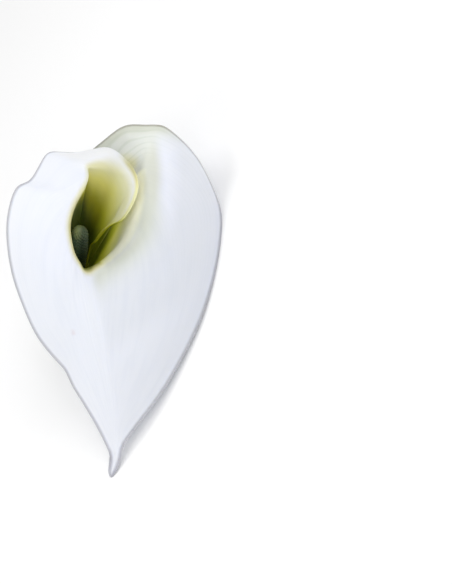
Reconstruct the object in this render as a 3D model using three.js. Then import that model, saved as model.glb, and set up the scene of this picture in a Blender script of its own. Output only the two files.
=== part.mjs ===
// Calla lily flower: one white bloom, cut just below its spathe and laid on a surface.
// Three pieces: the stem's cut end, the spadix with its florets, and the spathe, which is one sheet
// rolled into a tube round the spadix and flared above it into a wide limb with a drawn-out tip.
// Units are millimetres.
import * as THREE from 'three';

// The face frame: X across, Y up the face of the bloom, Z out towards the eye, with its origin at the
// near lip of the throat. Outlines are drawn as an eye this far away sees them on the plane Z = 0.
const eyeDistance = 600;
const eyeAcross = 69.5;
const eyeUp = -12;

// Tube and throat
const tubeFoot = new THREE.Vector3(-18, -15, -58);
const mouthCentre = new THREE.Vector3(3, 16, -3);
const footRadius = 6.3;
const footSpiral = 0.9;
const tubeFlare = 1.15;

// Sheet
const sheetThickness = 0.9;
const marginThickness = 0.6;
const ribsEachSide = 44;
const turnSpacing = 22;
const rowsAlongRib = [3, 3, 2, 2, 2, 3, 4, 3, 2];

// Spadix
const spadixTip = seen(0, -3.5, 20, 0).point;
const spadixLength = 68;
const spadixRadii = [[0, 3.9], [0.2, 4.3], [0.6, 4.4], [0.9, 4.1], [1, 3.9]];
const domeHeight = 5.2;
const floretHeight = 0.3;
const floretColumns = 12;
const spadixSteps = 60;

// Stem
const stemLength = 12;
const stemTopRadius = 7.7;
const stemEndRadius = 7.2;
const stemSides = 24;
const seatGap = 0.3;

// Colours
const spatheColour = 0xeef0f2;
const spadixColour = 0x8f9a52;
const stemColour = 0x7f9a55;

// Axes of the tube: mouthward up the tube, tipward towards the limb's tip, sideward to its right
const tipHeading = new THREE.Vector3(0.12, -1, 0);
const mouthward = mouthCentre.clone().sub(tubeFoot).normalize();
const tipward = tipHeading.clone().setZ(-tipHeading.dot(mouthward) / mouthward.z).normalize();
const sideward = mouthward.clone().cross(tipward);

// A station of an outline, drawn as the eye sees it and carried back to its depth
function seen(s, across, up, depth) {
  const shrink = (eyeDistance - depth) / eyeDistance;
  const x = eyeAcross + (across - eyeAcross) * shrink;
  const y = eyeUp + (up - eyeUp) * shrink;
  return { s, point: new THREE.Vector3(x, y, depth) };
}

// A station of an outline inside the tube: degrees round the axis from the tip side, radius, height
function wound(s, degrees, radius, height) {
  return { s, point: roundTube(degrees, radius, height) };
}

function roundTube(degrees, radius, height) {
  const angle = THREE.MathUtils.degToRad(degrees);
  return tubeFoot.clone()
    .addScaledVector(mouthward, height)
    .addScaledVector(tipward, radius * Math.cos(angle))
    .addScaledVector(sideward, radius * Math.sin(angle));
}

// Margin of the sheet: from the foot up the inner edge, round the left lobe to the tip at s = 0,
// round the right lobe and over the far wall, and down the outer edge to the foot again
const margin = [
  wound(-1, -235, 5.2, 4),
  wound(-0.985, -233, 7.5, 20),
  seen(-0.97, 1.7, 9.5, -32),
  seen(-0.95, 4.5, 13, -27),
  seen(-0.93, 10, 19.5, -21),
  seen(-0.905, 16.5, 23.2, -15),
  seen(-0.88, 21.5, 29, -10.5),
  seen(-0.855, 25.2, 37.5, -7.5),
  seen(-0.835, 25.5, 44.5, -7),
  seen(-0.8, 19.2, 54.7, -8),
  seen(-0.77, 11.5, 60, -8),
  seen(-0.74, 3.5, 59.5, -8),
  seen(-0.71, -7, 57.7, -7),
  seen(-0.68, -16.5, 58.2, -6.5),
  seen(-0.66, -20.7, 56.5, -6),
  seen(-0.62, -28.5, 44.2, -5),
  seen(-0.59, -35, 40.5, -5),
  seen(-0.56, -39, 30.5, -4.5),
  seen(-0.51, -40.2, 14, -4),
  seen(-0.46, -37.5, -3.5, -4),
  seen(-0.41, -32.2, -19, -4),
  seen(-0.34, -24, -36, -4),
  seen(-0.28, -13.7, -48.3, -5),
  seen(-0.263, -10.9, -51.8, -5),
  seen(-0.248, -8.9, -56, -5.5),
  seen(-0.2, -3.2, -66, -6),
  seen(-0.14, 4.7, -79.5, -8),
  seen(-0.09, 9.5, -89, -10.2),
  seen(-0.05, 11.4, -95.7, -11.9),
  seen(-0.035, 11, -98.6, -12.8),
  seen(-0.02, 10.6, -101.7, -13.8),
  seen(0, 12, -104.7, -14.6),
  seen(0.02, 14.5, -102.2, -13.3),
  seen(0.05, 17.1, -94.5, -10.7),
  seen(0.09, 18.7, -88.5, -8.9),
  seen(0.13, 23, -82, -7.5),
  seen(0.2, 31, -71.5, -7),
  seen(0.27, 39.5, -59.5, -8),
  seen(0.36, 52.5, -36, -11),
  seen(0.44, 60.2, -17, -15),
  seen(0.5, 64.7, 0, -20),
  seen(0.56, 67.2, 16.5, -26),
  seen(0.62, 66.7, 30, -30),
  seen(0.67, 62.7, 41, -28),
  seen(0.72, 56, 54, -21),
  seen(0.76, 47.5, 64, -14),
  seen(0.785, 41, 69.5, -11),
  seen(0.81, 36, 71.6, -10),
  seen(0.84, 27.5, 71.7, -11),
  seen(0.87, 17.7, 70.7, -13.5),
  seen(0.89, 10.5, 65.7, -16),
  seen(0.91, 3.5, 60, -20),
  seen(0.93, -1, 53.5, -24),
  wound(0.965, 192, 18.5, 46),
  wound(0.985, 197, 12, 23),
  wound(1, 200, 7.6, 4),
];

// Lip of the throat, where each rib turns from the tube into the limb, in the same order
const lip = [
  wound(-1, -235, 5.2, 3),
  wound(-0.985, -233, 7.2, 17),
  seen(-0.97, 1.2, 8.7, -34),
  seen(-0.95, 3, 12.2, -30),
  seen(-0.93, 7, 18, -26),
  seen(-0.905, 12, 22, -21.5),
  seen(-0.88, 16, 28.5, -18),
  seen(-0.855, 19.5, 36, -14.5),
  seen(-0.835, 19.7, 41, -12.5),
  seen(-0.8, 15.5, 48, -9),
  seen(-0.77, 10, 50.2, -5),
  seen(-0.74, 4.5, 50.5, -1),
  seen(-0.7, 0.1, 50, 1.2),
  seen(-0.67, 0.4, 46, 2.6),
  seen(-0.64, -1.5, 40.5, 4),
  seen(-0.57, -5.5, 33, 6),
  seen(-0.5, -8.2, 24.5, 7),
  seen(-0.42, -8.4, 17, 7),
  seen(-0.33, -7, 9.5, 6.4),
  seen(-0.22, -4.8, 4.2, 4.7),
  seen(-0.1, -2.8, 1, 3.8),
  seen(0, -1.1, -0.6, 2.8),
  seen(0.06, 1.4, 0.6, 0.8),
  seen(0.12, 4.7, 3.2, -2.3),
  seen(0.25, 12.7, 9.5, -5.8),
  seen(0.38, 20, 16.5, -8),
  seen(0.5, 25.5, 25.5, -9.5),
  seen(0.6, 28, 35.5, -10),
  seen(0.69, 29, 45.5, -10.5),
  seen(0.75, 28.8, 53.5, -11.5),
  seen(0.79, 28.5, 58.5, -13.5),
  seen(0.84, 24, 61.5, -16),
  seen(0.87, 18.5, 61.5, -18),
  seen(0.89, 12.5, 57.5, -20),
  seen(0.91, 6, 52, -24),
  seen(0.93, 0.5, 46, -28.5),
  wound(0.965, 192, 16.3, 40),
  wound(0.985, 197, 11, 19),
  wound(1, 200, 7.5, 3),
];

// Degrees round the foot at which each rib starts
const footDegrees = [[-1, -235], [-0.8, -200], [-0.5, -115], [0, 0], [0.5, 110], [0.8, 165], [1, 200]];

// How far the lip's bend reaches down the tube and out along the limb
const lipReach = [
  [-1, 1.5], [-0.85, 3], [-0.79, 3.6], [-0.74, 2.4], [-0.7, 1.4], [-0.64, 1.3], [-0.5, 1.6], [-0.2, 1.8],
  [0, 2.5], [0.15, 8], [0.5, 10], [0.65, 7], [0.8, 4], [0.9, 5], [1, 1.5],
];

// How far the bend cuts its corner, from 0 (sharp) to 1 (a straight chord)
const lipRounding = [
  [-1, 0.25], [-0.6, 0.1], [-0.3, 0.1], [0, 0.1], [0.12, 0.6], [0.5, 0.7], [0.7, 0.5], [0.8, 0.4], [1, 0.3],
];

// How far each rib of the limb arches towards the eye above its chord
const limbArch = [
  [-1, 0], [-0.85, 0.3], [-0.74, 0.8], [-0.68, 1.2], [-0.6, 2], [-0.5, 2], [-0.41, 1.9], [-0.3, 2.6],
  [-0.2, 3.55], [-0.15, 4.25], [-0.1, 5], [-0.06, 5.45], [-0.03, 5.85], [0, 6.45],
  [0.03, 6.3], [0.06, 6.45], [0.1, 7.25], [0.15, 7.25], [0.22, 7], [0.33, 6.8],
  [0.4, 6.9], [0.5, 7.5], [0.56, 7.8], [0.62, 7.4], [0.69, 5.4], [0.75, 2.6], [0.8, 1.1], [0.84, 0.3],
  [0.9, 0], [1, 0],
];

// How far each rib of the limb bows across, so that the ribs fan out evenly into the drawn-out tip
const limbBow = [
  [-1, 0], [-0.35, 0], [-0.2, 0.2], [-0.14, 0.5], [-0.1, 0.9], [-0.06, 2.1], [-0.04, 3.6], [-0.02, 5.2],
  [0, 5.5], [0.02, 4.6], [0.06, 2.4], [0.1, 1.2], [0.14, 0.7], [0.2, 0.3], [0.35, 0], [1, 0],
];

// Second derivatives of the natural cubic spline through one list of values
function curvatures(knots, values) {
  const n = knots.length;
  const ratio = new Array(n).fill(0);
  const moment = new Array(n).fill(0);
  for (let i = 1; i < n - 1; i++) {
    const before = knots[i] - knots[i - 1];
    const after = knots[i + 1] - knots[i];
    const slopeChange = (values[i + 1] - values[i]) / after - (values[i] - values[i - 1]) / before;
    const pivot = 2 * (before + after) - before * ratio[i - 1];
    ratio[i] = after / pivot;
    moment[i] = (6 * slopeChange - before * moment[i - 1]) / pivot;
  }
  for (let i = n - 2; i > 0; i--) moment[i] -= ratio[i] * moment[i + 1];
  return moment;
}

// Smooth curve through values at knots, as a function
function smoothValue(knots, values) {
  const moment = curvatures(knots, values);
  return (q) => {
    let i = 1;
    while (i < knots.length - 1 && q > knots[i]) i++;
    const width = knots[i] - knots[i - 1];
    const a = (knots[i] - q) / width;
    const b = (q - knots[i - 1]) / width;
    const bend = ((a ** 3 - a) * moment[i - 1] + (b ** 3 - b) * moment[i]) * width * width / 6;
    return a * values[i - 1] + b * values[i] + bend;
  };
}

function smoothPoint(knots, points) {
  const [x, y, z] = ['x', 'y', 'z'].map((axis) => smoothValue(knots, points.map((p) => p[axis])));
  return (q) => new THREE.Vector3(x(q), y(q), z(q));
}

function smoothPairs(pairs) {
  return smoothValue(pairs.map((p) => p[0]), pairs.map((p) => p[1]));
}

const marginAt = smoothPoint(margin.map((m) => m.s), margin.map((m) => m.point));
const lipAt = smoothPoint(lip.map((m) => m.s), lip.map((m) => m.point));
const footDegreesAt = smoothPairs(footDegrees);
const lipReachAt = smoothPairs(lipReach);
const lipRoundingAt = smoothPairs(lipRounding);
const limbArchAt = smoothPairs(limbArch);
const limbBowAt = smoothPairs(limbBow);

// Degrees, radius and height of a point round the tube's axis
function tubeCoordinates(point) {
  const q = point.clone().sub(tubeFoot);
  const t = q.dot(tipward);
  const s = q.dot(sideward);
  return [THREE.MathUtils.radToDeg(Math.atan2(s, t)), Math.hypot(s, t), q.dot(mouthward)];
}

// One rib of the sheet from the foot (t = 0) up the tube, over the lip and out to the margin (t = 1)
function rib(s) {
  const edge = marginAt(s);
  const crest = lipAt(s);
  const startDegrees = footDegreesAt(s);
  const [crestDegrees, crestRadius, crestHeight] = tubeCoordinates(crest);
  const turns = Math.round((startDegrees - crestDegrees) / 360);
  const twist = crestDegrees + 360 * turns - startDegrees;
  const startRadius = footRadius + footSpiral * startDegrees / 180;
  const tube = (f) => roundTube(
    startDegrees + twist * THREE.MathUtils.smoothstep(f, 0, 1),
    startRadius + (crestRadius - startRadius) * f ** tubeFlare,
    crestHeight * f,
  );
  const span = edge.clone().sub(crest);
  const arch = limbArchAt(s);
  const bow = limbBowAt(s);
  const limb = (f) => {
    const hump = 2 * f * (1 - f) + 3.375 * f * (1 - f) ** 2;
    const sway = (1 - (1 - f) ** 4) * (1 - f ** 8);
    return crest.clone().addScaledVector(span, f).add(new THREE.Vector3(bow * sway, 0, arch * hump));
  };
  const reach = lipReachAt(s);
  const inside = tube(1 - Math.min(0.25, 0.9 * reach / crestHeight));
  const outStep = Math.min(0.3, 0.8 * reach / span.length());
  const outside = limb(outStep);
  const chord = inside.clone().add(outside).multiplyScalar(0.5);
  const bend = crest.clone().lerp(chord, lipRoundingAt(s));
  const third = (1 - outStep) / 3;
  const control = [
    tube(0), tube(1 / 3), tube(2 / 3), inside, bend, outside,
    limb(outStep + third), limb(outStep + 2 * third), limb(1 - third / 3), edge,
  ];
  const knots = [0];
  for (let i = 1; i < control.length; i++) {
    knots.push(knots[i - 1] + control[i].distanceTo(control[i - 1]) ** 0.75);
  }
  const at = smoothPoint(knots, control);
  const points = [];
  rowsAlongRib.forEach((steps, i) => {
    for (let k = 0; k < steps; k++) points.push(at(knots[i] + (knots[i + 1] - knots[i]) * k / steps));
  });
  points.push(edge);
  return points;
}

// Places of the ribs between two stations, closer together where the margin turns
function ribPlaces(from, to, count) {
  const fine = Array.from({ length: 401 }, (_, i) => THREE.MathUtils.lerp(from, to, i / 400));
  const points = fine.map(marginAt);
  const run = [0];
  for (let i = 1; i < points.length; i++) {
    const chord = points[i].clone().sub(points[i - 1]);
    const next = i + 1 < points.length ? points[i + 1].clone().sub(points[i]) : chord;
    run.push(run[i - 1] + chord.length() + turnSpacing * chord.angleTo(next));
  }
  const total = run[run.length - 1];
  const places = [];
  for (let k = 0; k < count; k++) {
    const i = run.findIndex((length) => length > total * k / count);
    places.push(THREE.MathUtils.mapLinear(total * k / count, run[i - 1], run[i], fine[i - 1], fine[i]));
  }
  return places;
}

// Outward normals of a grid of points, from its neighbours on either side
function gridNormals(grid) {
  const last = grid.length - 1;
  return grid.map((column, i) => column.map((_, j) => {
    const left = grid[Math.max(i - 1, 0)][j];
    const right = grid[Math.min(i + 1, last)][j];
    const below = column[Math.max(j - 1, 0)];
    const above = column[Math.min(j + 1, column.length - 1)];
    return right.clone().sub(left).cross(above.clone().sub(below)).normalize();
  }));
}

// Closed mesh from points and triangles
function solid(points, triangles) {
  const places = new THREE.Float32BufferAttribute(points.flatMap((p) => p.toArray()), 3);
  const geometry = new THREE.BufferGeometry();
  geometry.setAttribute('position', places);
  geometry.setIndex(triangles.flat());
  geometry.computeVertexNormals();
  return geometry;
}

// A grid of points thickened both ways along its normals and closed round its four edges
function thickSheet(grid, thicknessAt) {
  const normals = gridNormals(grid);
  const columns = grid.length;
  const rows = grid[0].length;
  const points = [];
  for (const side of [0.5, -0.5]) {
    grid.forEach((column, i) => column.forEach((p, j) => {
      points.push(p.clone().addScaledVector(normals[i][j], side * thicknessAt(j / (rows - 1))));
    }));
  }
  const front = (i, j) => i * rows + j;
  const back = (i, j) => columns * rows + i * rows + j;
  const triangles = [];
  for (let i = 0; i < columns - 1; i++) {
    for (let j = 0; j < rows - 1; j++) {
      triangles.push([front(i, j), front(i + 1, j), front(i, j + 1)]);
      triangles.push([front(i + 1, j), front(i + 1, j + 1), front(i, j + 1)]);
      triangles.push([back(i, j), back(i, j + 1), back(i + 1, j)]);
      triangles.push([back(i + 1, j), back(i, j + 1), back(i + 1, j + 1)]);
    }
  }
  const rim = [];
  for (let i = 0; i < columns - 1; i++) rim.push([i, 0]);
  for (let j = 0; j < rows - 1; j++) rim.push([columns - 1, j]);
  for (let i = columns - 1; i > 0; i--) rim.push([i, rows - 1]);
  for (let j = rows - 1; j > 0; j--) rim.push([0, j]);
  rim.forEach(([i, j], k) => {
    const [m, n] = rim[(k + 1) % rim.length];
    triangles.push([front(i, j), back(i, j), front(m, n)]);
    triangles.push([back(i, j), back(m, n), front(m, n)]);
  });
  return solid(points, triangles);
}

// Spathe
const ribs = [...ribPlaces(-1, 0, ribsEachSide), ...ribPlaces(0, 1, ribsEachSide), 1].map(rib);
const spatheGeometry = thickSheet(ribs, (t) => {
  const thinning = THREE.MathUtils.smoothstep(t, 0.7, 1);
  return THREE.MathUtils.lerp(sheetThickness, marginThickness, thinning);
});

// A round body along an axis: rings of points closed by one point at each end
function roundBody(rings, footCentre, topCentre) {
  const sides = rings[0].length;
  const points = [...rings.flat(), footCentre, topCentre];
  const foot = points.length - 2;
  const top = points.length - 1;
  const lastRing = (rings.length - 1) * sides;
  const triangles = [];
  for (let k = 0; k < sides; k++) {
    const next = (k + 1) % sides;
    triangles.push([foot, next, k]);
    triangles.push([top, lastRing + k, lastRing + next]);
    for (let ring = 0; ring < lastRing; ring += sides) {
      triangles.push([ring + k, ring + next, ring + sides + k]);
      triangles.push([ring + next, ring + sides + next, ring + sides + k]);
    }
  }
  return solid(points, triangles);
}

function ringPoints(centre, axis, sides, radiusAt) {
  const start = new THREE.Vector3(1, 0, 0).projectOnPlane(axis).normalize();
  const side = axis.clone().cross(start);
  return Array.from({ length: sides }, (_, k) => {
    const angle = 2 * Math.PI * k / sides;
    return centre.clone()
      .addScaledVector(start, radiusAt(k) * Math.cos(angle))
      .addScaledVector(side, radiusAt(k) * Math.sin(angle));
  });
}

// Spadix: a finger with a round end, covered with florets in staggered rows. It starts square to the
// foot of the tube and bends a little towards its tip.
const spadixBend = tubeFoot.clone().addScaledVector(mouthward, spadixLength / 2);
const spadixCurve = new THREE.QuadraticBezierCurve3(tubeFoot, spadixBend, spadixTip);
const spadixRadiusAt = smoothPairs(spadixRadii);
const spadixSides = 2 * floretColumns;
const spadixRings = [];
for (let step = 0; step < spadixSteps; step++) {
  const f = step / (spadixSteps - 0.75);
  const toEnd = Math.min(1, spadixLength * (1 - f) / domeHeight);
  const round = Math.sqrt(1 - (1 - toEnd) ** 2);
  const swell = THREE.MathUtils.smoothstep(f, 0, 0.15) * round * floretHeight;
  const body = spadixRadiusAt(f) * round;
  const radiusAt = (k) => body + swell * Math.cos(Math.PI * k) * Math.cos(Math.PI * step / 2);
  spadixRings.push(ringPoints(spadixCurve.getPoint(f), spadixCurve.getTangent(f), spadixSides, radiusAt));
}
const spadixGeometry = roundBody(spadixRings, tubeFoot, spadixTip);

// Stem: the short end left below the bloom, cut square
const stemProfile = [[0, 0.93], [0.08, 1], [0.5, 1], [0.92, 1], [1, 0.95]];
const stemRings = stemProfile.map(([f, share]) => {
  const centre = tubeFoot.clone().addScaledVector(mouthward, (f - 1) * stemLength - seatGap);
  const radius = share * THREE.MathUtils.lerp(stemEndRadius, stemTopRadius, f);
  return ringPoints(centre, mouthward, stemSides, () => radius);
});
const stemEnd = tubeFoot.clone().addScaledVector(mouthward, -stemLength - seatGap);
const stemTop = tubeFoot.clone().addScaledVector(mouthward, -seatGap);
const stemGeometry = roundBody(stemRings, stemEnd, stemTop);

// The bloom lies on three low points: its tip, the edge of its right lobe and the stem's cut end
const lobeRest = 0.57;
const tipRest = marginAt(0);
const sideRest = marginAt(lobeRest);
const cutSide = new THREE.Vector3(0.6, -0.3, -0.7).projectOnPlane(mouthward).normalize();
const cutRest = stemEnd.clone().addScaledVector(cutSide, stemEndRadius);
const upward = sideRest.clone().sub(tipRest).cross(cutRest.clone().sub(tipRest)).normalize();

function mesh(name, geometry, colour, roughness) {
  const material = new THREE.MeshStandardMaterial({ color: colour, roughness, metalness: 0 });
  const piece = new THREE.Mesh(geometry, material);
  piece.name = name;
  return piece;
}

const bloom = new THREE.Group();
bloom.add(mesh('spathe', spatheGeometry, spatheColour, 0.55));
bloom.add(mesh('spadix', spadixGeometry, spadixColour, 0.8));
bloom.add(mesh('stem', stemGeometry, stemColour, 0.6));

// Turn the plane of the three low points level, keep the face's across direction along X, and put
// the origin on the surface below the middle of the bloom
const levelX = new THREE.Vector3(1, 0, 0).projectOnPlane(upward).normalize();
const levelY = upward.clone().cross(levelX);
bloom.quaternion.setFromRotationMatrix(new THREE.Matrix4().makeBasis(levelX, levelY, upward)).invert();
const flower = new THREE.Group();
flower.add(bloom);
flower.updateMatrixWorld(true);
const box = new THREE.Box3().setFromObject(flower, true);
const centre = box.getCenter(new THREE.Vector3());
bloom.position.set(-centre.x, -centre.y, -box.min.z);

export default flower;
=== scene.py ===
"""Calla lily flower: the bloom's three pieces rebuilt finely round the frame, with its light and camera."""
import math

import bpy
import numpy as np
from mathutils import Matrix, Vector

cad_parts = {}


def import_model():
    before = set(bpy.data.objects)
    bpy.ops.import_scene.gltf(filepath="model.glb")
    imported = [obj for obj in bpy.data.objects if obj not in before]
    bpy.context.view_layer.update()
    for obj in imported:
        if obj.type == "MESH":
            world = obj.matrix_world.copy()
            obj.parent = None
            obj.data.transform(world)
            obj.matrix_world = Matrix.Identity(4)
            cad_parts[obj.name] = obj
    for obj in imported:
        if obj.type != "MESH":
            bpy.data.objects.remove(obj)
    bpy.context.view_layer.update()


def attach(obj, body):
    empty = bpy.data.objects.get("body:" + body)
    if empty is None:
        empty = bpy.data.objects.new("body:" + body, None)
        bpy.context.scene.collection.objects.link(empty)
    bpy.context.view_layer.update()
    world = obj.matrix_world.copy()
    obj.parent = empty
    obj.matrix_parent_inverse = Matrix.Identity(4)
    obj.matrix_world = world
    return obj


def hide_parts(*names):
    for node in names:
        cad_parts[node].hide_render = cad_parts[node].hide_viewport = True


MM = 0.001

# The face frame, as in the part: X across, Y up the face, Z towards the eye, in millimetres
EYE = np.array([69.5, -12.0, 600.0])
TUBE_FOOT = np.array([-18.0, -15.0, -58.0])
MOUTH_CENTRE = np.array([3.0, 16.0, -3.0])
TIP_HEADING = np.array([0.12, -1.0])
FOOT_RADIUS = 6.3
FOOT_SPIRAL = 0.9
TUBE_FLARE = 1.15
RIGHT_REST = 0.57
STEM_UNDERSIDE = np.array([0.6, -0.3, -0.7])
FACE_ORIGIN = np.array([7.2, 10.08, 52.24])

# Sheet
SHEET_THICKNESS = 0.9
MARGIN_THICKNESS = 0.6
THINNING = (0.7, 1)
EDGE_ROUND = 0.35
RIBS_EACH_SIDE = 170
RIB_SAMPLES = 401
TURN_SPACING = 22.0
ROWS_ALONG_RIB = (8, 8, 9, 8, 8, 12, 14, 10, 8)
SPANS_TO_LIP = 4
SMOOTH_SHARE = 0.75

# Reach of the lip's bend along a rib: its share where there is room, and the most of the rib that it takes
LIMB_BEND, LIMB_BEND_MOST = 0.8, 0.3
TUBE_BEND, TUBE_BEND_MOST = 0.9, 0.25

# Spadix
SPADIX_LENGTH = 68.0
DOME_HEIGHT = 5.2
FLORET_HEIGHT = 0.3
FLORET_RISE = 2.6
FLORET_SINK = 1.6
FLORETS_BEGIN = (0, 0.15)
FLORET_COLUMNS = 12
FLORET_ROWS = 30
SPADIX_SIDES = 216
SPADIX_STEPS = 330

# Stem
STEM_LENGTH = 12.0
STEM_TOP_RADIUS = 7.7
STEM_END_RADIUS = 7.2
SEAT_GAP = 0.3
STEM_SIDES = 144

# Stem's rings by share of its height and share of its radius, over the paler cut end and the rounded rims
STEM_PROFILE = [
    (0, 0.5), (0, 0.86), (0, 0.93), (0.03, 0.975), (0.08, 1), (0.3, 1), (0.5, 1), (0.7, 1), (0.92, 1),
    (0.97, 0.985), (1, 0.95), (1, 0.5),
]

# Lens, in degrees and metres
VERTICAL_VIEW = 27.35
NEAR_CLIP = 0.01

# Floor and light: the key lamp by its place, the others by direction from the throat in the face frame
FLOOR_SIZE = 6
FLOOR_COLOUR = (0.98, 0.98, 0.98, 1)
SURROUND = 0.5
LAMP_SIZE = 0.4
LAMP_TARGET = (0, 0, 0.04)
LAMP_DISTANCE = 650.0
KEY_PLACE, KEY_POWER = (-0.25, 0.1, 0.9), 1.7
FACE_LAMPS = [
    ("upper", (0.0, 0.7, 0.7), 1.25),
    ("lower", (-0.55, -0.55, 0.63), 0.75),
    ("front", (0.0, 0.0, 1.0), 0.8),
]


def unit(v):
    return v / np.linalg.norm(v, axis=-1, keepdims=True)


MOUTHWARD = unit(MOUTH_CENTRE - TUBE_FOOT)
TIPWARD = unit(np.array([*TIP_HEADING, -(TIP_HEADING @ MOUTHWARD[:2]) / MOUTHWARD[2]]))
SIDEWARD = np.cross(MOUTHWARD, TIPWARD)


def seen(across, up, depth):
    """A station drawn as the eye sees it on the plane Z = 0, carried back to its depth."""
    shrink = (EYE[2] - depth) / EYE[2]
    return EYE[0] + (across - EYE[0]) * shrink, EYE[1] + (up - EYE[1]) * shrink, depth


def round_tube(degrees, radius, height):
    """Points round the tube's axis, by degrees from the side of the tip, radius and height."""
    angle = np.radians(degrees)[..., None]
    radius, height = np.asarray(radius)[..., None], np.asarray(height)[..., None]
    return TUBE_FOOT + height * MOUTHWARD + radius * (np.cos(angle) * TIPWARD + np.sin(angle) * SIDEWARD)


def wound(degrees, radius, height):
    """A station inside the tube, by degrees round its axis, radius and height."""
    return tuple(round_tube(np.float64(degrees), radius, height))


# Margin of the sheet, by the station s that runs from one edge of the roll round the tip to the other
MARGIN = [
    (-1, wound(-235, 5.2, 4)),
    (-0.985, wound(-233, 7.5, 20)),
    (-0.97, seen(1.7, 9.5, -32)),
    (-0.95, seen(4.5, 13, -27)),
    (-0.93, seen(10, 19.5, -21)),
    (-0.905, seen(16.5, 23.2, -15)),
    (-0.88, seen(21.5, 29, -10.5)),
    (-0.855, seen(25.2, 37.5, -7.5)),
    (-0.835, seen(25.5, 44.5, -7)),
    (-0.8, seen(19.2, 54.7, -8)),
    (-0.77, seen(11.5, 60, -8)),
    (-0.74, seen(3.5, 59.5, -8)),
    (-0.71, seen(-7, 57.7, -7)),
    (-0.68, seen(-16.5, 58.2, -6.5)),
    (-0.66, seen(-20.7, 56.5, -6)),
    (-0.62, seen(-28.5, 44.2, -5)),
    (-0.59, seen(-35, 40.5, -5)),
    (-0.56, seen(-39, 30.5, -4.5)),
    (-0.51, seen(-40.2, 14, -4)),
    (-0.46, seen(-37.5, -3.5, -4)),
    (-0.41, seen(-32.2, -19, -4)),
    (-0.34, seen(-24, -36, -4)),
    (-0.28, seen(-13.7, -48.3, -5)),
    (-0.263, seen(-10.9, -51.8, -5)),
    (-0.248, seen(-8.9, -56, -5.5)),
    (-0.2, seen(-3.2, -66, -6)),
    (-0.14, seen(4.7, -79.5, -8)),
    (-0.09, seen(9.5, -89, -10.2)),
    (-0.05, seen(11.4, -95.7, -11.9)),
    (-0.035, seen(11, -98.6, -12.8)),
    (-0.02, seen(10.6, -101.7, -13.8)),
    (0, seen(12, -104.7, -14.6)),
    (0.02, seen(14.5, -102.2, -13.3)),
    (0.05, seen(17.1, -94.5, -10.7)),
    (0.09, seen(18.7, -88.5, -8.9)),
    (0.13, seen(23, -82, -7.5)),
    (0.2, seen(31, -71.5, -7)),
    (0.27, seen(39.5, -59.5, -8)),
    (0.36, seen(52.5, -36, -11)),
    (0.44, seen(60.2, -17, -15)),
    (0.5, seen(64.7, 0, -20)),
    (0.56, seen(67.2, 16.5, -26)),
    (0.62, seen(66.7, 30, -30)),
    (0.67, seen(62.7, 41, -28)),
    (0.72, seen(56, 54, -21)),
    (0.76, seen(47.5, 64, -14)),
    (0.785, seen(41, 69.5, -11)),
    (0.81, seen(36, 71.6, -10)),
    (0.84, seen(27.5, 71.7, -11)),
    (0.87, seen(17.7, 70.7, -13.5)),
    (0.89, seen(10.5, 65.7, -16)),
    (0.91, seen(3.5, 60, -20)),
    (0.93, seen(-1, 53.5, -24)),
    (0.965, wound(192, 18.5, 46)),
    (0.985, wound(197, 12, 23)),
    (1, wound(200, 7.6, 4)),
]

# Lip of the throat, where each rib turns from the tube into the limb
LIP = [
    (-1, wound(-235, 5.2, 3)),
    (-0.985, wound(-233, 7.2, 17)),
    (-0.97, seen(1.2, 8.7, -34)),
    (-0.95, seen(3, 12.2, -30)),
    (-0.93, seen(7, 18, -26)),
    (-0.905, seen(12, 22, -21.5)),
    (-0.88, seen(16, 28.5, -18)),
    (-0.855, seen(19.5, 36, -14.5)),
    (-0.835, seen(19.7, 41, -12.5)),
    (-0.8, seen(15.5, 48, -9)),
    (-0.77, seen(10, 50.2, -5)),
    (-0.74, seen(4.5, 50.5, -1)),
    (-0.7, seen(0.1, 50, 1.2)),
    (-0.67, seen(0.4, 46, 2.6)),
    (-0.64, seen(-1.5, 40.5, 4)),
    (-0.57, seen(-5.5, 33, 6)),
    (-0.5, seen(-8.2, 24.5, 7)),
    (-0.42, seen(-8.4, 17, 7)),
    (-0.33, seen(-7, 9.5, 6.4)),
    (-0.22, seen(-4.8, 4.2, 4.7)),
    (-0.1, seen(-2.8, 1, 3.8)),
    (0, seen(-1.1, -0.6, 2.8)),
    (0.06, seen(1.4, 0.6, 0.8)),
    (0.12, seen(4.7, 3.2, -2.3)),
    (0.25, seen(12.7, 9.5, -5.8)),
    (0.38, seen(20, 16.5, -8)),
    (0.5, seen(25.5, 25.5, -9.5)),
    (0.6, seen(28, 35.5, -10)),
    (0.69, seen(29, 45.5, -10.5)),
    (0.75, seen(28.8, 53.5, -11.5)),
    (0.79, seen(28.5, 58.5, -13.5)),
    (0.84, seen(24, 61.5, -16)),
    (0.87, seen(18.5, 61.5, -18)),
    (0.89, seen(12.5, 57.5, -20)),
    (0.91, seen(6, 52, -24)),
    (0.93, seen(0.5, 46, -28.5)),
    (0.965, wound(192, 16.3, 40)),
    (0.985, wound(197, 11, 19)),
    (1, wound(200, 7.5, 3)),
]

# Degrees round the foot at which each rib starts
FOOT_DEGREES = [(-1, -235), (-0.8, -200), (-0.5, -115), (0, 0), (0.5, 110), (0.8, 165), (1, 200)]

# How far the lip's bend reaches down the tube and out along the limb
LIP_REACH = [
    (-1, 1.5), (-0.85, 3), (-0.79, 3.6), (-0.74, 2.4), (-0.7, 1.4), (-0.64, 1.3), (-0.5, 1.6), (-0.2, 1.8),
    (0, 2.5), (0.15, 8), (0.5, 10), (0.65, 7), (0.8, 4), (0.9, 5), (1, 1.5),
]

# How far the bend cuts its corner, from 0 (sharp) to 1 (a straight chord)
LIP_ROUNDING = [
    (-1, 0.25), (-0.6, 0.1), (-0.3, 0.1), (0, 0.1), (0.12, 0.6), (0.5, 0.7), (0.7, 0.5), (0.8, 0.4), (1, 0.3),
]

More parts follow.
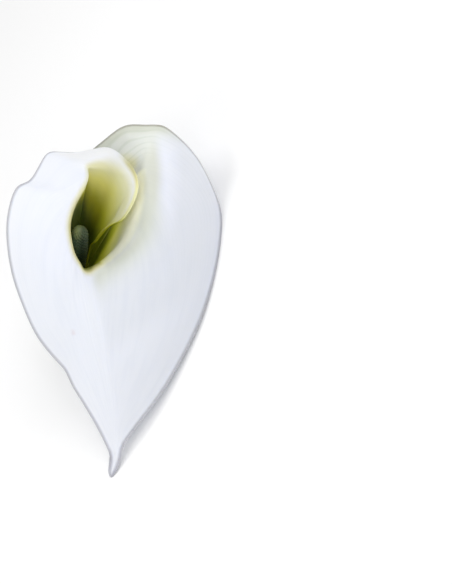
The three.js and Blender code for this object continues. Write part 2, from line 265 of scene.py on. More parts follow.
# How far each rib of the limb arches towards the eye above its chord
LIMB_ARCH = [
    (-1, 0), (-0.85, 0.3), (-0.74, 0.8), (-0.68, 1.2), (-0.6, 2), (-0.5, 2), (-0.41, 1.9), (-0.3, 2.6),
    (-0.2, 3.55), (-0.15, 4.25), (-0.1, 5), (-0.06, 5.45), (-0.03, 5.85), (0, 6.45),
    (0.03, 6.3), (0.06, 6.45), (0.1, 7.25), (0.15, 7.25), (0.22, 7), (0.33, 6.8),
    (0.4, 6.9), (0.5, 7.5), (0.56, 7.8), (0.62, 7.4), (0.69, 5.4), (0.75, 2.6), (0.8, 1.1), (0.84, 0.3),
    (0.9, 0), (1, 0),
]

# How far each rib of the limb bows across, so that the ribs fan out evenly into the drawn-out tip
LIMB_BOW = [
    (-1, 0), (-0.35, 0), (-0.2, 0.2), (-0.14, 0.5), (-0.1, 0.9), (-0.06, 2.1), (-0.04, 3.6), (-0.02, 5.2),
    (0, 5.5), (0.02, 4.6), (0.06, 2.4), (0.1, 1.2), (0.14, 0.7), (0.2, 0.3), (0.35, 0), (1, 0),
]

# Spadix, by share of its length from the foot
SPADIX_RADII = [(0, 3.9), (0.2, 4.3), (0.6, 4.4), (0.9, 4.1), (1, 3.9)]
SPADIX_TIP = np.array(seen(-3.5, 20, 0))


def mix(a, b, share):
    return a + (b - a) * share


def smoothstep(x, low, high):
    x = np.clip((x - low) / (high - low), 0, 1)
    return x * x * (3 - 2 * x)


def curvatures(knots, values):
    """Second derivatives of the natural cubic spline through values (n, ...) at knots of the same shape."""
    ratio, moment = np.zeros_like(values), np.zeros_like(values)
    for i in range(1, len(knots) - 1):
        before, after = knots[i] - knots[i - 1], knots[i + 1] - knots[i]
        slope_change = (values[i + 1] - values[i]) / after - (values[i] - values[i - 1]) / before
        pivot = 2 * (before + after) - before * ratio[i - 1]
        ratio[i] = after / pivot
        moment[i] = (6 * slope_change - before * moment[i - 1]) / pivot
    for i in range(len(knots) - 2, 0, -1):
        moment[i] -= ratio[i] * moment[i + 1]
    return moment


def on_segment(knots, values, moment, i, q):
    """The spline's value at q, which lies between knots i and i + 1."""
    width = knots[i + 1] - knots[i]
    a, b = (knots[i + 1] - q) / width, (q - knots[i]) / width
    bend = ((a**3 - a) * moment[i] + (b**3 - b) * moment[i + 1]) * width**2 / 6
    return a * values[i] + b * values[i + 1] + bend


def smooth(pairs):
    """A function of s, smooth through (s, value) pairs, where a value is a number or a point."""
    s = np.array([p[0] for p in pairs], float)
    values = np.array([p[1] for p in pairs], float).reshape(len(s), -1)
    knots = np.broadcast_to(s[:, None], values.shape)
    moment = curvatures(knots, values)

    def at(q):
        q = np.atleast_1d(np.asarray(q, float))
        i = np.clip(np.searchsorted(s, q, side="left") - 1, 0, len(s) - 2)
        found = on_segment(knots, values, moment, i, q[:, None])
        return found if values.shape[1] > 1 else found[:, 0]

    return at


margin_at = smooth(MARGIN)
lip_at = smooth(LIP)


def tube_coordinates(point):
    """Degrees, radius and height of points round the tube's axis."""
    q = point - TUBE_FOOT
    t, s = q @ TIPWARD, q @ SIDEWARD
    return np.degrees(np.arctan2(s, t)), np.hypot(s, t), q @ MOUTHWARD


def spathe_ribs(s):
    """Points of the sheet's middle layer, as rows along each rib: (rows, ribs, 3)."""
    edge, crest = margin_at(s), lip_at(s)
    start_degrees = smooth(FOOT_DEGREES)(s)
    crest_degrees, crest_radius, crest_height = tube_coordinates(crest)
    turns = np.round((start_degrees - crest_degrees) / 360)
    twist = crest_degrees + 360 * turns - start_degrees
    start_radius = FOOT_RADIUS + FOOT_SPIRAL * start_degrees / 180
    span = edge - crest
    arch = smooth(LIMB_ARCH)(s)
    bow = smooth(LIMB_BOW)(s)
    reach = smooth(LIP_REACH)(s)

    def tube(f):
        degrees = start_degrees + twist * smoothstep(f, 0, 1)
        return round_tube(degrees, mix(start_radius, crest_radius, f**TUBE_FLARE), crest_height * f)

    def limb(f):
        round_arch, early_arch = 4 * f * (1 - f), 6.75 * f * (1 - f) ** 2
        hump = (round_arch + early_arch) / 2
        sway = (1 - (1 - f) ** 4) * (1 - f**8)
        lift = np.stack([bow * sway, 0 * f, arch * hump], axis=1)
        return crest + f[:, None] * span + lift

    everywhere = np.ones_like(s)
    out_step = np.minimum(LIMB_BEND_MOST, LIMB_BEND * reach / np.linalg.norm(span, axis=1))
    inside = tube(1 - np.minimum(TUBE_BEND_MOST, TUBE_BEND * reach / crest_height))
    outside = limb(out_step)
    bend = mix(crest, (inside + outside) / 2, smooth(LIP_ROUNDING)(s)[:, None])
    third = (1 - out_step) / 3
    control = np.array([
        tube(0 * everywhere), tube(everywhere / 3), tube(everywhere * 2 / 3), inside, bend, outside,
        limb(out_step + third), limb(out_step + 2 * third), limb(1 - third / 3), edge,
    ])
    chords = np.linalg.norm(np.diff(control, axis=0), axis=2) ** SMOOTH_SHARE
    knots = np.concatenate([np.zeros((1, len(s))), np.cumsum(chords, axis=0)])[:, :, None] * np.ones(3)
    moment = curvatures(knots, control)
    rows = []
    for i, steps in enumerate(ROWS_ALONG_RIB):
        for k in range(steps):
            rows.append(on_segment(knots, control, moment, i, mix(knots[i], knots[i + 1], k / steps)))
    rows.append(edge)
    return np.array(rows)


def rib_places(start, end, count):
    """Places of the ribs between two stations, closer together where the margin turns."""
    fine = np.linspace(start, end, RIB_SAMPLES)
    chords = np.diff(margin_at(fine), axis=0)
    directions = unit(chords)
    turn = np.arccos(np.clip((directions[:-1] * directions[1:]).sum(1), -1, 1))
    run = np.concatenate([[0], np.cumsum(np.linalg.norm(chords, axis=1) + TURN_SPACING * np.append(turn, 0))])
    return np.interp(run[-1] * np.arange(count) / count, run, fine)


def face_to_part():
    """Turns the face frame so that the bloom's three low points lie level, as in the part."""
    stem_end = TUBE_FOOT - (STEM_LENGTH + SEAT_GAP) * MOUTHWARD
    outward = unit(STEM_UNDERSIDE - MOUTHWARD * (STEM_UNDERSIDE @ MOUTHWARD))
    tip, side, cut = margin_at(0)[0], margin_at(RIGHT_REST)[0], stem_end + STEM_END_RADIUS * outward
    upward = unit(np.cross(side - tip, cut - tip))
    level_x = unit(np.array([1.0, 0, 0]) - upward * upward[0])
    return np.array([level_x, np.cross(upward, level_x), upward])


TURN = face_to_part()


def to_part(points):
    """Face-frame millimetres to part-frame metres."""
    return (points @ TURN.T + FACE_ORIGIN) * MM


def grid_normals(grid):
    """Normals of a grid of points (rows, ribs, 3), out of the sheet's inner face."""
    along = np.gradient(grid, axis=0)
    across = np.gradient(grid, axis=1)
    return unit(np.cross(along, across))


def grid_faces(rows, columns, first, flip):
    """Faces of a grid of points that is numbered from first."""
    at = first + np.arange(rows * columns).reshape(rows, columns)
    faces = np.stack([at[:-1, :-1], at[:-1, 1:], at[1:, 1:], at[1:, :-1]], axis=-1).reshape(-1, 4)
    return faces[:, ::-1] if flip else faces


def add_mesh(name, points, faces, values=None):
    """A smooth mesh piece, with named values at its points."""
    mesh = bpy.data.meshes.new(name)
    mesh.from_pydata([tuple(p) for p in points], [], [tuple(int(i) for i in f) for f in faces])
    mesh.polygons.foreach_set("use_smooth", [True] * len(mesh.polygons))
    for key, data in (values or {}).items():
        kind, slot = ("FLOAT_COLOR", "color") if data.ndim == 2 else ("FLOAT", "value")
        layer = mesh.attributes.new(key, kind, "POINT")
        layer.data.foreach_set(slot, np.ascontiguousarray(data, np.float32).ravel())
    mesh.update()
    piece = bpy.data.objects.new(name, mesh)
    bpy.context.scene.collection.objects.link(piece)
    return piece


def linear(red, green, blue):
    """An sRGB colour, 0 to 255, as linear light."""
    c = np.array([red, green, blue]) / 255
    return np.where(c > 0.04045, ((c + 0.055) / 1.055) ** 2.4, c / 12.92)


# Limb: its inner face with a painted highlight and painted shade, the far lobe behind the throat, the edge of
# the roll and the faint spot
WHITE = linear(229, 233, 248)
# Painted highlight on the left shoulder of the limb
LIT_WHITE = linear(250, 252, 255)
SHADE = linear(217, 221, 230)
# Painted shade in the valley beside the throat, and a lighter painted shade in the crease at its lip
VALLEY_SHADE = linear(200, 204, 195)
FAR_VALLEY_SHADE = linear(200, 203, 194)
CREASE_SHADE = linear(219, 222, 215)
# Far lobe: its grey-green, partly its own tone and partly painted shade, with painted shade along its rim and
# the painted shadow of the roll beside it
FAR_GREY_AND_SHADE = linear(211, 215, 210)
FAR_RIM_SHADE = linear(192, 196, 186)
FAR_DEEP_SHADOW = linear(203, 200, 162)
# Edge of the roll: cream with a painted highlight, cream in painted shade, and the throat's olive in painted
# shade at the tongue
LIT_RIM = linear(247, 241, 174)
SHADED_RIM = linear(184, 180, 136)
SHADED_TONGUE_EDGE = linear(168, 166, 22)
SPOT = linear(214, 204, 212)
SPOT_PLACE = np.array([-6.5, -32.0])
SPOT_SPREAD = 0.8

# Outer face
PALE_GREEN = linear(222, 228, 196)
FOOT_GREEN = linear(150, 172, 96)
FLAP_CREAM = linear(246, 238, 186)
# Painted shade on the back of the tongue, over its green
SHADED_TONGUE_BACK = linear(104, 116, 5)

# Cream, yellow, olive and deep green of the throat, partly its own colour and partly painted shade that deepens
# inwards, for its back, its left wall in painted shade, and its right wall and the flap in painted light
THROAT = [linear(218, 215, 178), linear(213, 207, 116), linear(146, 144, 4), linear(42, 58, 2)]
SHADED_LEFT_THROAT = [linear(214, 212, 188), linear(186, 182, 132), linear(112, 114, 40), linear(46, 60, 10)]
LIT_FLAP_THROAT = [linear(255, 252, 206), linear(255, 249, 160), linear(206, 208, 52), linear(104, 126, 8)]
LIT_RIGHT_THROAT = [linear(255, 255, 220), linear(255, 252, 145), linear(192, 198, 50), linear(76, 96, 4)]

# Depths below the lip at which the inner face leaves its white and reaches each of the four, by station
THROAT_DEPTHS = [
    (-0.94, (-12, -11, -9, -3, 12)), (-0.91, (-11, -9, -4, 5, 24)), (-0.88, (-10, -5, 14, 34, 56)),
    (-0.84, (-8, -1, 13, 29, 44)), (-0.79, (-7.5, -0.5, 10, 24, 42)), (-0.75, (-5.5, -1.8, 7, 18, 36)),
    (-0.7, (-2.5, 0.3, 5, 10, 20)), (-0.66, (-2, 0.3, 3, 7, 16)), (-0.62, (-2.4, -0.6, 1, 3.5, 9)),
    (-0.5, (-3.5, -1, 0, 0.8, 2.4)), (-0.3, (-4, -1.2, 0, 0.6, 1.4)), (-0.05, (-4.2, -1.8, -0.9, -0.2, 0.6)),
    (0.06, (-4.8, -2.8, -1.9, -0.7, 1)), (0.15, (-4.2, -2.4, -0.2, 3.2, 8)), (0.22, (-3, -0.6, 7, 14, 24)),
    (0.3, (-1.6, 2, 19, 32, 48)), (0.38, (-1, 3, 26, 41, 62)), (0.46, (-1, 4, 30, 46, 70)),
    (0.56, (-1, 4, 30, 44, 62)), (0.64, (-1, 5, 24, 32, 43)), (0.72, (-1, 4, 18, 26, 36)),
    (0.8, (30, 40, 50, 60, 70)),
]
THROAT_OVERLAP = 0.2

# Stations over which one look eases into the next, on the right half
RIGHT_HALF = (0.0, 0.12)
RIGHT_WALL = (0.1, 0.26)
CREASE_END = (0.42, 0.52)
VALLEY_NARROWS = (0.45, 0.65)
VALLEY_END = (0.52, 0.7)
FAR_LOBE = (0.74, 0.81)
FAR_VEINS = (0.74, 0.84)

# The same on the left half, counted from the tip
LEFT_HALF = (0.06, 0.3)
LEFT_WALL = (0.58, 0.66)
LEFT_END = (0.66, 0.7)
SHOULDER = (0.66, 0.73)
SHOULDER_END = (0.77, 0.82)
ROLL = (0.78, 0.81)
FLAP = (0.78, 0.85)
FLAP_BACK = (0.76, 0.86)
BRIGHT_RIM = (0.82, 0.86)
TONGUE_RIM = (0.88, 0.92)
TONGUE_OUTSIDE = (0.87, 0.91)

# Millimetres from the lip out over the limb, or down into the throat, over which a painted shade eases in
VALLEY_WIDTH, VALLEY_FAR_WIDTH, VALLEY_FULL = 24.0, 12.0, 5
CREASE_OUT = (-7.0, -2.0)
LEFT_SHADE_OUT = (8.0, 24.0)
RIGHT_SHADE_OUT = (12.0, 22.0)
RIGHT_SHADE_FADE = (34.0, 50.0)
FAR_DEEP_IN = (3.0, 11.0)

# Shares of the shades at their fullest
LEFT_SHADE, RIGHT_SHADE, SHADE_FADE = 0.3, 0.8, 0.7
CREASE_SHARE = 0.7

# Millimetres in from the margin, written from the inside outwards, for the painted shade along the far lobe's
# rim and the painted light and shade on the edge of the roll
FAR_RIM_IN = (-7.0, -1.0)
RIM_IN = (-3.5, -0.8)

# Millimetres above the foot on the outside, written from the limb down, and what is added beyond the lip
PALE_DOWN = (-62.0, -34.0)
GREEN_DOWN = (-38.0, -6.0)
LIMB_OUTSIDE = (2.0, 20.0)
LIMB_HEIGHT = 60

# Dark line along the margin: where it begins, and where it is wider or fades out, by the station's size
FRINGE_BEGINS = -0.72
FRINGE_WIDE_END = (0.6, 0.7)
FRINGE_WIDTH_GAIN = 0.45
FRINGE_FADE = (0.7, 0.76)
FRINGE_FADE_DISTANCE = 5
FRINGE_IN = (1.4, 0.4)
FRINGE_SHADE = (0.48, 0.47, 0.47, 1)

# Veins: how fast they gather towards the margin, how many half the sheet holds, their wander and their shade
VEIN_GATHER = 0.85
VEINS = 86.0
WANDER = 2.0
GROOVE_IN_WAVE = (0.3, 1.0)
VEIN_LEAST = 0.12
VEIN_DARKNESS = 0.45
VEIN_SHADE = (0.8, 0.84, 0.79, 1)
STREAK_IN_GRAIN = (0.4, 0.7)
STREAK_SHADE = (0.965, 0.97, 0.98, 1)

# Grains to half the sheet across, and to a millimetre along
WANDER_GRAIN = (6.0, 0.03)
FINE_GRAIN = (260.0, 0.25)
STREAK_GRAIN = (22.0, 0.05)

# Relief of the veins, as shares of its depth in metres
GROOVE_HEIGHT, FINE_HEIGHT = -0.6, 0.5
VEIN_RELIEF_LEAST, VEIN_RELIEF_GAIN = 0.1, 0.3
VEIN_RELIEF_DEPTH = 0.00012

# Spadix: the left side in painted light and the right side in painted shade, the end with a painted highlight,
# and painted shade in the gaps between florets
SPADIX_LIT_LEFT, SPADIX_SHADED_RIGHT = linear(112, 134, 100), linear(34, 52, 32)
SPADIX_END_LIT_LEFT, SPADIX_END_SHADED_RIGHT = linear(138, 148, 96), linear(50, 66, 34)
SPADIX_LEFT_TO_RIGHT = (-0.7, 0.5)
SPADIX_END = (0.9, 0.98)
FLORET_GAP = (0.75, 0.3)
FLORET_GAP_SHADE = (0.9, 0.93, 0.88, 1)

# Stem: its skin, and its cut flesh by share of the radius and of the height
STEM_SKIN, STEM_FLESH = linear(150, 172, 96), linear(200, 210, 156)
FLESH_OUT, FLESH_UP = (0.93, 0.9), (0.5, 0.4)


def blend_colour(a, b, share):
    """Colours from a to b, by a share at each point."""
    return a + (b - a) * np.asarray(share)[..., None]


def eased(stations, s):
    """Rows of values that ease from station to station and never overshoot."""
    rows = np.array([row for _, row in stations], float)
    value = rows[0]
    for i in range(len(rows) - 1):
        value = value + (rows[i + 1] - rows[i]) * smoothstep(s, stations[i][0], stations[i + 1][0])[..., None]
    return np.moveaxis(value, -1, 0)


def limb_tint(s, depth, to_margin):
    """Colour of the inner face outside the throat: white, with a painted highlight on the left shoulder,
    painted shade on both halves and in the valley, and the far lobe behind the throat partly in painted shade.
    """
    right = smoothstep(s, *RIGHT_HALF)
    far = smoothstep(s, *FAR_LOBE)
    shoulder_light = smoothstep(-s, *SHOULDER) * (1 - smoothstep(-s, *SHOULDER_END))
    left = smoothstep(-s, *LEFT_HALF) * (1 - smoothstep(-s, *LEFT_END))
    left_shade = left * smoothstep(-depth, *LEFT_SHADE_OUT)
    right_fade = 1 - SHADE_FADE * smoothstep(-depth, *RIGHT_SHADE_FADE)
    right_shade = right * smoothstep(-depth, *RIGHT_SHADE_OUT) * right_fade
    # Painted highlight on the left shoulder, then painted shade on both halves
    tint = blend_colour(WHITE, LIT_WHITE, shoulder_light)
    tint = blend_colour(tint, SHADE, np.maximum(LEFT_SHADE * left_shade, RIGHT_SHADE * right_shade))
    # Painted shade in the valley beside the throat, lighter in the crease at its lip
    valley_start = mix(-VALLEY_WIDTH, -VALLEY_FAR_WIDTH, smoothstep(s, *VALLEY_NARROWS))
    valley_shade = smoothstep((depth - valley_start) / (-VALLEY_FULL - valley_start), 0, 1)
    crease_shade = CREASE_SHARE * smoothstep(depth, *CREASE_OUT) * (1 - smoothstep(s, *CREASE_END))
    valley_shade_colour = blend_colour(VALLEY_SHADE, FAR_VALLEY_SHADE, smoothstep(s, *VALLEY_END))
    tint = blend_colour(tint, blend_colour(valley_shade_colour, CREASE_SHADE, crease_shade), right * valley_shade)
    # Far lobe: grey-green, partly its own tone and partly painted shade, with painted shade along its rim and
    # the painted shadow of the roll
    tint = blend_colour(tint, FAR_GREY_AND_SHADE, far)
    tint = blend_colour(tint, FAR_RIM_SHADE, far * smoothstep(-to_margin, *FAR_RIM_IN))
    return blend_colour(tint, FAR_DEEP_SHADOW, far * smoothstep(depth, *FAR_DEEP_IN))


def throat_tint(tint, s, depth):
    """The limb's colour carried down through cream, yellow and olive to the green depth of the throat, partly
    its own colour and partly painted shade, with painted shade on the left wall and painted light on the right
    wall and the flap.
    """
    depths = eased(THROAT_DEPTHS, s)
    lit_flap_share = smoothstep(-s, *FLAP)
    shaded_left_share = smoothstep(s, -LEFT_WALL[1], -LEFT_WALL[0])
    lit_right_share = smoothstep(s, *RIGHT_WALL)
    for i in range(len(THROAT)):
        colour = blend_colour(THROAT[i], LIT_FLAP_THROAT[i], lit_flap_share)
        colour = blend_colour(colour, SHADED_LEFT_THROAT[i], shaded_left_share)
        colour = blend_colour(colour, LIT_RIGHT_THROAT[i], lit_right_share)
        overlap = THROAT_OVERLAP * (depths[i + 1] - depths[i])
        tint = blend_colour(tint, colour, smoothstep(depth, depths[i] - overlap, depths[i + 1] + overlap))
    return tint


def inner_tint(s, depth, to_margin, points):
    """Colour of the inner face: the limb, the throat, the edge of the roll with its painted highlight and
    painted shade, and the faint spot.
    """
    tint = throat_tint(limb_tint(s, depth, to_margin), s, depth)
    # Edge of the roll: cream in painted shade where it is dull, with a painted highlight where it is bright,
    # and olive in painted shade at the tongue
    rim_colour = blend_colour(SHADED_RIM, LIT_RIM, smoothstep(-s, *BRIGHT_RIM))
    rim_colour = blend_colour(rim_colour, SHADED_TONGUE_EDGE, smoothstep(-s, *TONGUE_RIM))
    tint = blend_colour(tint, rim_colour, smoothstep(-s, *ROLL) * smoothstep(-to_margin, *RIM_IN))
    spot = np.exp(-(((points[..., :2] - SPOT_PLACE) ** 2).sum(-1)) / SPOT_SPREAD)
    return blend_colour(tint, SPOT, spot)


def outer_tint(s, height):
    """Colour of the outer face: green at the foot, white towards the limb, cream on the inner roll and painted
    shade on the back of the tongue.
    """
    tint = blend_colour(WHITE, PALE_GREEN, smoothstep(-height, *PALE_DOWN))
    tint = blend_colour(tint, FOOT_GREEN, smoothstep(-height, *GREEN_DOWN))
    tint = blend_colour(tint, FLAP_CREAM, smoothstep(-s, *FLAP_BACK))
    return blend_colour(tint, SHADED_TONGUE_BACK, smoothstep(-s, *TONGUE_OUTSIDE))


def vein_coordinate(s, run):
    """Number that is constant along a vein: veins start evenly round the foot and run on to the tip."""
    return np.sign(s) * np.abs(s) ** ((1 - run) ** VEIN_GATHER)


def distance_to_line(points, line):
    """Shortest distance from each point to a line of close points."""
    nearest = np.full(points.shape[:-1], np.inf)
    for share in (0.0, 0.5):
        for place in mix(line[:-1], line[1:], share):
            nearest = np.minimum(nearest, ((points - place) ** 2).sum(-1))
    return np.sqrt(nearest)


def fringe_distance(middle, s):
    """Distance to the margin's dark line, told smaller where the line is wide and larger where it fades."""
    wide = 1 - smoothstep(np.abs(s), *FRINGE_WIDE_END)
    distance = distance_to_line(middle, middle[-1, s > FRINGE_BEGINS]) * (1 - FRINGE_WIDTH_GAIN * wide)
    return distance + FRINGE_FADE_DISTANCE * smoothstep(-s, *FRINGE_FADE)


def spathe_values(s, middle, run):
    """Colour, vein, run and distance to the dark line at the inner and then the outer points of the sheet."""
    depth = run[sum(ROWS_ALONG_RIB[:SPANS_TO_LIP])] - run
    station = np.broadcast_to(s, run.shape)
    height = (middle - TUBE_FOOT) @ MOUTHWARD + LIMB_HEIGHT * smoothstep(-depth, *LIMB_OUTSIDE)
    tints = np.stack([inner_tint(station, depth, run[-1] - run, middle), outer_tint(station, height)])
    veining = mix(VEIN_LEAST, 1.0, smoothstep(station, *FAR_VEINS))
    return {
        "tint": np.concatenate([tints.reshape(-1, 3), np.ones((2 * run.size, 1))], axis=1),
        "vein": np.tile(vein_coordinate(station, np.clip(run / run[-1], 0, 0.999)).ravel(), 2),
        "along": np.tile(run.ravel(), 2),
        "to_fringe": np.tile(fringe_distance(middle, s).ravel(), 2),
        "veining": np.tile(veining.ravel(), 2),
    }


def sheet_faces(rows, columns):
    """Faces of the inner grid, of the outer grid that follows it, and of the edge between them."""
    count = rows * columns
    at = np.arange(count).reshape(rows, columns)
    rim = np.concatenate([at[0, :-1], at[:-1, -1], at[-1, :0:-1], at[:0:-1, 0]])
    after = np.roll(rim, -1)
    edge = np.stack([rim, after, after + count, rim + count], axis=-1)
    return np.concatenate([grid_faces(rows, columns, 0, True), grid_faces(rows, columns, count, False), edge])


def build_spathe():
    """The one sheet, from its middle layer, with its thickness and its rounded margin."""
    s = np.concatenate([rib_places(-1, 0, RIBS_EACH_SIDE), rib_places(0, 1, RIBS_EACH_SIDE), [1.0]])
    middle = spathe_ribs(s)
    rows, columns = middle.shape[:2]
    steps = np.linalg.norm(np.diff(middle, axis=0), axis=2)
    run = np.concatenate([np.zeros((1, columns)), np.cumsum(steps, axis=0)])
    grid_share = np.linspace(0, 1, rows)[:, None] * np.ones(columns)
    thickness = mix(SHEET_THICKNESS, MARGIN_THICKNESS, smoothstep(grid_share, *THINNING))
    rounding = np.sqrt(1 - (1 - np.clip((run[-1] - run) / EDGE_ROUND, 0.02, 1)) ** 2)
    half = (thickness * rounding / 2)[:, :, None] * grid_normals(middle)
    points = np.stack([middle + half, middle - half]).reshape(-1, 3)
    faces = sheet_faces(rows, columns)
    return add_mesh("spathe_sheet", to_part(points), faces, spathe_values(s, middle, run))


def ring_directions(axis):
    """Two directions square to an axis and to each other."""
    start = unit(np.array([1.0, 0, 0]) - axis * axis[..., :1])
    return start, np.cross(axis, start)


def ring_angles(sides):
    return math.tau * np.arange(sides) / sides


def ring_points(centres, radii, axis):
    """Points round each centre by radius, evenly spaced round the axis: (rings, sides, 3)."""
    start, side = ring_directions(np.atleast_2d(axis))
    angle = ring_angles(radii.shape[1])[:, None]
    outward = np.cos(angle) * start[:, None] + np.sin(angle) * side[:, None]
    return centres[:, None] + radii[..., None] * outward


def closed_rings(rings, first_end, last_end):
    """Points and faces of rings (rings, sides, 3), closed by a fan round each end point."""
    count = rings.shape[0] * rings.shape[1]
    at = np.arange(count).reshape(rings.shape[:2])
    right = np.roll(at, -1, axis=1)
    faces = np.stack([at[:-1], right[:-1], right[1:], at[1:]], axis=-1).reshape(-1, 4).tolist()
    faces += [(count, b, a) for a, b in zip(at[0], right[0])]
    faces += [(count + 1, a, b) for a, b in zip(at[-1], right[-1])]
    return np.concatenate([rings.reshape(-1, 3), [first_end, last_end]]), faces


def spadix_line(f):
    """Centre and direction of the spadix, which starts square to the foot and bends towards its tip."""
    bend = TUBE_FOOT + MOUTHWARD * SPADIX_LENGTH / 2
    f = f[:, None]
    centre = (1 - f) ** 2 * TUBE_FOOT + 2 * f * (1 - f) * bend + f**2 * SPADIX_TIP
    return centre, unit((1 - f) * (bend - TUBE_FOOT) + f * (SPADIX_TIP - bend))


def floret_pattern(f):
    """Florets in staggered rows, from 0 in the gaps to 1 on their crowns: (rings, sides)."""
    turn = FLORET_COLUMNS * ring_angles(SPADIX_SIDES)
    climb = math.tau * (f * FLORET_ROWS)[:, None]
    lattice = 0.5 + 0.25 * (np.cos(turn + climb) + np.cos(turn - climb))
    return np.sqrt(np.clip(lattice, 0, 1))


def build_spadix():
    """The finger in the throat, with its florets and its rounded end."""
    f = np.arange(SPADIX_STEPS) / (SPADIX_STEPS - 0.9)
    centre, axis = spadix_line(f)
    to_end = np.minimum(1, SPADIX_LENGTH * (1 - f) / DOME_HEIGHT)
    round_off = np.sqrt(1 - (1 - to_end) ** 2)
    body = smooth(SPADIX_RADII)(f) * round_off
    swell = smoothstep(f, *FLORETS_BEGIN) * round_off * FLORET_HEIGHT
    floret = floret_pattern(f)
    radius = body[:, None] + swell[:, None] * (FLORET_RISE * floret - FLORET_SINK)
    rings = ring_points(centre, radius, axis)
    across = (rings - centre[:, None])[..., 0] / SPADIX_RADII[0][1]
    points, faces = closed_rings(rings, TUBE_FOOT, SPADIX_TIP)
    values = {
        "floret": np.append(floret.ravel(), [0.5, 1.0]),
        "up_spadix": np.append(np.repeat(f, SPADIX_SIDES), [0.0, 1.0]),
        "across": np.append(across.ravel(), [0.0, 0.0]),
    }
    return add_mesh("spadix_florets", to_part(points), faces, values)


def build_stem():
    """The short cut end of the stalk below the foot."""
    up, out = np.array(STEM_PROFILE, float).T
    below = (up - 1) * STEM_LENGTH - SEAT_GAP
    radius = out * mix(STEM_END_RADIUS, STEM_TOP_RADIUS, up)
    centres = TUBE_FOOT + below[:, None] * MOUTHWARD
    rings = ring_points(centres, radius[:, None] * np.ones(STEM_SIDES), MOUTHWARD)
    cut_end, top = TUBE_FOOT - (STEM_LENGTH + SEAT_GAP) * MOUTHWARD, TUBE_FOOT - SEAT_GAP * MOUTHWARD
    points, faces = closed_rings(rings, cut_end, top)
    values = {
        "out": np.append(np.repeat(out, STEM_SIDES), [0.0, 0.0]),
        "up": np.append(np.repeat(up, STEM_SIDES), [0.0, 1.0]),
    }
    return add_mesh("stem_end", to_part(points), faces, values)


class Nodes:
    """Short calls for the nodes of one material."""

    def __init__(self, name):
        self.material = bpy.data.materials.new(name)
        self.material.use_nodes = True
        self.tree = self.material.node_tree
        self.tree.nodes.clear()

    def add(self, kind, settings=None, **inputs):
        """A node with its settings and inputs, where an input is named or numbered as in _0."""
        node = self.tree.nodes.new(kind)
        for key, value in (settings or {}).items():
            setattr(node, key, value)
        for key, value in inputs.items():
            place = int(key[1:]) if key[0] == "_" else key.replace("_", " ")
            self.put(node.inputs[place], value)
        return node

    def put(self, socket, value):
        if isinstance(value, bpy.types.NodeSocket):
            self.tree.links.new(value, socket)
        else:
            socket.default_value = value

    def value(self, name):
        return self.add("ShaderNodeAttribute", {"attribute_name": name}).outputs["Fac"]

    def colour(self, name):
        return self.add("ShaderNodeAttribute", {"attribute_name": name}).outputs["Color"]

    def math(self, operation, a, b=0.0):
        return self.add("ShaderNodeMath", {"operation": operation}, _0=a, _1=b).outputs[0]

    def ramp(self, value, low, high):
        """A smooth step from 0 at low to 1 at high, where low may be the larger."""
        settings = {"interpolation_type": "SMOOTHSTEP"}
        return self.add("ShaderNodeMapRange", settings, Value=value, From_Min=low, From_Max=high).outputs[0]

    def mix_colour(self, a, b, share, blend="MIX"):
        settings = {"data_type": "RGBA", "blend_type": blend}
        return self.add("ShaderNodeMix", settings, _0=share, _6=a, _7=b).outputs[2]

    def multiply(self, a, b, share):
        return self.mix_colour(a, b, share, "MULTIPLY")

    def grain(self, vein, along, size, detail):
        """Noise drawn out along the veins, by its grains to half the sheet across and to a millimetre along."""
        x, y = self.math("MULTIPLY", vein, size[0]), self.math("MULTIPLY", along, size[1])
        place = self.add("ShaderNodeCombineXYZ", X=x, Y=y).outputs[0]
        return self.add("ShaderNodeTexNoise", Vector=place, Scale=1.0, Detail=detail).outputs[0]

    def bump(self, height, strength, distance):
        return self.add("ShaderNodeBump", Height=height, Strength=strength, Distance=distance).outputs[0]

    def finish(self, **inputs):
        shader = self.add("ShaderNodeBsdfPrincipled", **inputs)
        output = self.add("ShaderNodeOutputMaterial")
        self.tree.links.new(shader.outputs[0], output.inputs["Surface"])
        return self.material


def opaque(colour):
    return (*colour, 1)


def spathe_material():
    """Waxy white flesh with grooved veins, faint streaks and a dark line along the margin."""
    n = Nodes("spathe")
    vein, along, veining = n.value("vein"), n.value("along"), n.value("veining")
    wander = n.grain(vein, along, WANDER_GRAIN, 2.0)
    line = n.math("ADD", n.math("MULTIPLY", vein, VEINS), n.math("MULTIPLY", wander, WANDER))
    groove = n.ramp(n.math("SINE", n.math("MULTIPLY", line, math.tau)), *GROOVE_IN_WAVE)
    fine = n.grain(vein, along, FINE_GRAIN, 3.0)
    streak = n.grain(vein, along, STREAK_GRAIN, 3.0)
    dark = n.math("MULTIPLY", groove, n.math("MULTIPLY", veining, VEIN_DARKNESS))
    tint = n.multiply(n.colour("tint"), VEIN_SHADE, dark)
    tint = n.multiply(tint, STREAK_SHADE, n.ramp(streak, *STREAK_IN_GRAIN))
    tint = n.multiply(tint, FRINGE_SHADE, n.ramp(n.value("to_fringe"), *FRINGE_IN))
    height = n.math("ADD", n.math("MULTIPLY", groove, GROOVE_HEIGHT), n.math("MULTIPLY", fine, FINE_HEIGHT))
    strength = n.math("ADD", n.math("MULTIPLY", veining, VEIN_RELIEF_GAIN), VEIN_RELIEF_LEAST)
    return n.finish(
        Base_Color=tint,
        Roughness=0.5,
        Subsurface_Weight=0.9,
        Subsurface_Radius=(1.0, 0.95, 0.85),
        Subsurface_Scale=0.0035,
        Normal=n.bump(height, strength, VEIN_RELIEF_DEPTH),
    )


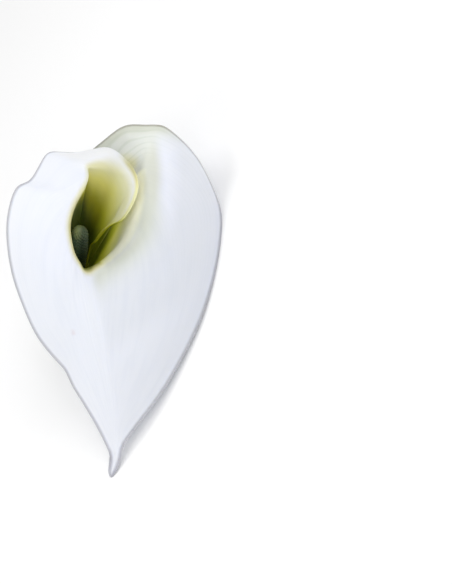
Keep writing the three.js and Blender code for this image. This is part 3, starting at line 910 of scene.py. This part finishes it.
def spadix_material():
    """Dull green florets, with painted light on the left and a painted highlight towards the end, and painted
    shade on the right and in the gaps.
    """
    n = Nodes("spadix")
    # Painted light on the left side and a painted highlight at the end, painted shade on the right side
    across = n.ramp(n.value("across"), *SPADIX_LEFT_TO_RIGHT)
    body = n.mix_colour(opaque(SPADIX_LIT_LEFT), opaque(SPADIX_SHADED_RIGHT), across)
    end = n.mix_colour(opaque(SPADIX_END_LIT_LEFT), opaque(SPADIX_END_SHADED_RIGHT), across)
    lit_end = n.ramp(n.value("up_spadix"), *SPADIX_END)
    gap = n.ramp(n.value("floret"), *FLORET_GAP)
    tint = n.multiply(n.mix_colour(body, end, lit_end), FLORET_GAP_SHADE, gap)
    return n.finish(Base_Color=tint, Roughness=0.55, Subsurface_Weight=0.15, Subsurface_Scale=0.001)


def stem_material():
    """Green skin with paler flesh on the cut end."""
    n = Nodes("stem")
    cut_end = n.math("MULTIPLY", n.ramp(n.value("out"), *FLESH_OUT), n.ramp(n.value("up"), *FLESH_UP))
    tint = n.mix_colour(opaque(STEM_SKIN), opaque(STEM_FLESH), cut_end)
    return n.finish(Base_Color=tint, Roughness=0.45, Subsurface_Weight=0.2, Subsurface_Scale=0.002)


def place_piece(piece, node, material):
    """Gives a piece its material and puts it in the place of the solid of that node."""
    piece.data.materials.append(material)
    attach(piece, "root")
    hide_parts(node)


def add_lamp(name, place, power):
    """A soft round lamp turned towards the bloom."""
    lamp = bpy.data.lights.new(name, "AREA")
    lamp.shape = "DISK"
    lamp.size = LAMP_SIZE
    lamp.energy = power
    holder = bpy.data.objects.new(name, lamp)
    holder.location = place
    holder.rotation_euler = (Vector(LAMP_TARGET) - Vector(place)).to_track_quat("-Z", "Y").to_euler()
    bpy.context.scene.collection.objects.link(holder)


def studio():
    """Plain pale floor, four soft lamps and a pale surround."""
    bpy.ops.mesh.primitive_plane_add(size=FLOOR_SIZE)
    floor = bpy.context.object
    floor.name = "floor"
    floor.data.materials.append(Nodes("floor").finish(Base_Color=FLOOR_COLOUR, Roughness=0.9))
    world = bpy.data.worlds.new("surround")
    world.use_nodes = True
    background = world.node_tree.nodes["Background"]
    background.inputs["Color"].default_value = (1, 1, 1, 1)
    background.inputs["Strength"].default_value = SURROUND
    bpy.context.scene.world = world
    add_lamp("key", KEY_PLACE, KEY_POWER)
    for name, direction, power in FACE_LAMPS:
        add_lamp(name, to_part(MOUTH_CENTRE + LAMP_DISTANCE * np.array(direction)), power)
    bpy.context.scene.view_settings.view_transform = "Standard"


def camera():
    """The eye of the face frame, looking square at the bloom's face."""
    lens = bpy.data.cameras.new("camera")
    lens.sensor_fit = "VERTICAL"
    lens.angle = math.radians(VERTICAL_VIEW)
    lens.clip_start = NEAR_CLIP
    eye = bpy.data.objects.new("camera", lens)
    axes = Matrix([list(TURN[i]) for i in range(3)]).to_4x4()
    axes.translation = Vector(to_part(EYE))
    eye.matrix_world = axes
    bpy.context.scene.collection.objects.link(eye)
    bpy.context.scene.camera = eye


def main():
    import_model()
    place_piece(build_spathe(), "spathe", spathe_material())
    place_piece(build_spadix(), "spadix", spadix_material())
    place_piece(build_stem(), "stem", stem_material())
    studio()
    camera()


main()
